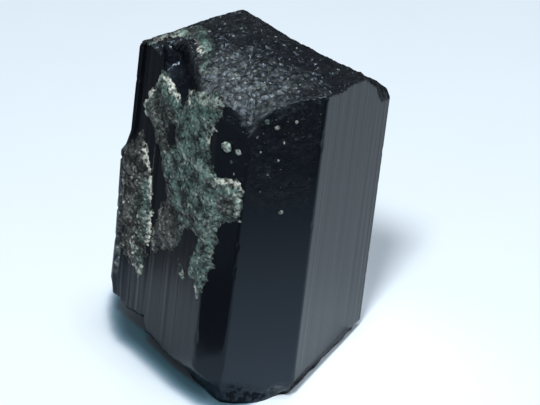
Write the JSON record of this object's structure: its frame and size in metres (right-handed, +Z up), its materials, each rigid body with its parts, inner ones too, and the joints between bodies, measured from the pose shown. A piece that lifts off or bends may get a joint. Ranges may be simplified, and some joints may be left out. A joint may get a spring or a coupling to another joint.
{
  "type": "tourmaline crystal",
  "caption": "Short black tourmaline prism standing on its broken base, with a pitted sloping top and patches of grey-green crust on two faces.",
  "frame": {"origin": "centre of the object's box, on the flat that it rests on", "axes": "+Z up, with the prism leaning 5.7 degrees from it towards +X, -Y towards the side with the narrow front faces, +X towards the wide striated right face"},
  "size_m": [0.0426, 0.0322, 0.0522],
  "materials": {
    "black_tourmaline": "black glassy crystal faces, finely striated along the prism, with a pitted matt top and a rough broken base",
    "green_crust": "grey-green flaky mineral crust, rough, with small pearly glints"
  },
  "bodies": {
    "root": {"tourmaline_crystal": "black_tourmaline", "main_crust": "green_crust", "left_crust": "green_crust", "small_crust": "green_crust", "edge_crust": "green_crust", "upper_grain": "green_crust", "lower_grain": "green_crust"}
  },
  "joints": []
}
